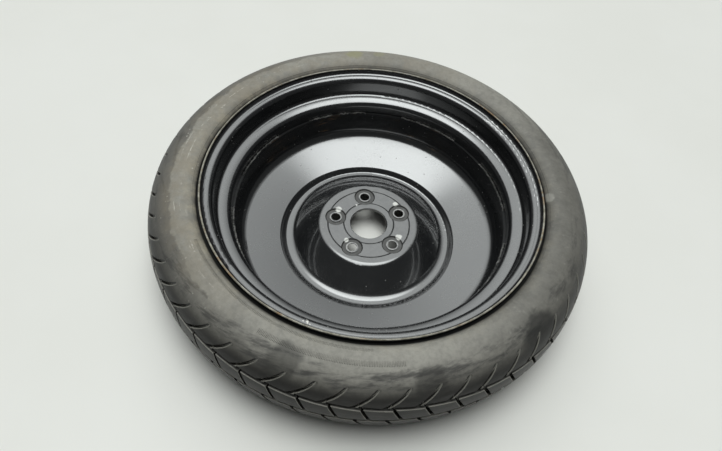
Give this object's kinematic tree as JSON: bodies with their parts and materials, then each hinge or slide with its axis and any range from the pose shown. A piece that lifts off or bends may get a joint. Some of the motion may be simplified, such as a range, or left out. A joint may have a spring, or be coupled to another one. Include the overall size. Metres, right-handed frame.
{
  "type": "spare wheel",
  "caption": "Compact spare car wheel: a narrow treaded tyre on a black steel rim with a pressed disc, bolt holes, a centre bore and a snap-in valve, lying inboard side up.",
  "frame": {"origin": "wheel centre: on the axis, in the rim's mid-plane", "axes": "+Z along the wheel's axis towards the inboard side, which faces up as the wheel lies flat"},
  "size_m": [0.612, 0.612, 0.127],
  "materials": {
    "tyre": "dusty worn rubber",
    "black_paint": "satin black paint",
    "valve_rubber": "matte black rubber",
    "brass": "plain brass",
    "core_steel": "plain steel",
    "cap_plastic": "black plastic"
  },
  "bodies": {
    "wheel": {"tyre": "tyre", "rim": "black_paint", "wheel_disc": "black_paint", "weld_beads": "black_paint", "valve_stem": "valve_rubber", "valve_tube": "brass", "core_barrel": "brass", "core_gasket": "valve_rubber", "core_spring": "core_steel"},
    "pin": {"core_pin": "core_steel", "pin_seal": "valve_rubber"},
    "cap": {"valve_cap": "cap_plastic", "cap_gasket": "valve_rubber"}
  },
  "joints": [
    {"name": "pin_press", "type": "slide", "parent": "wheel", "child": "pin", "axis": [-0.3802, 0.3247, 0.866], "range_m": [0, 0.0018], "stiffness_N_per_m": 1500, "springref_m": -0.002, "deforming": ["core_spring"]},
    {"name": "cap_off", "type": "slide", "parent": "wheel", "child": "cap", "axis": [0.3802, -0.3247, -0.866], "range_m": [0, 0.0085]}
  ]
}
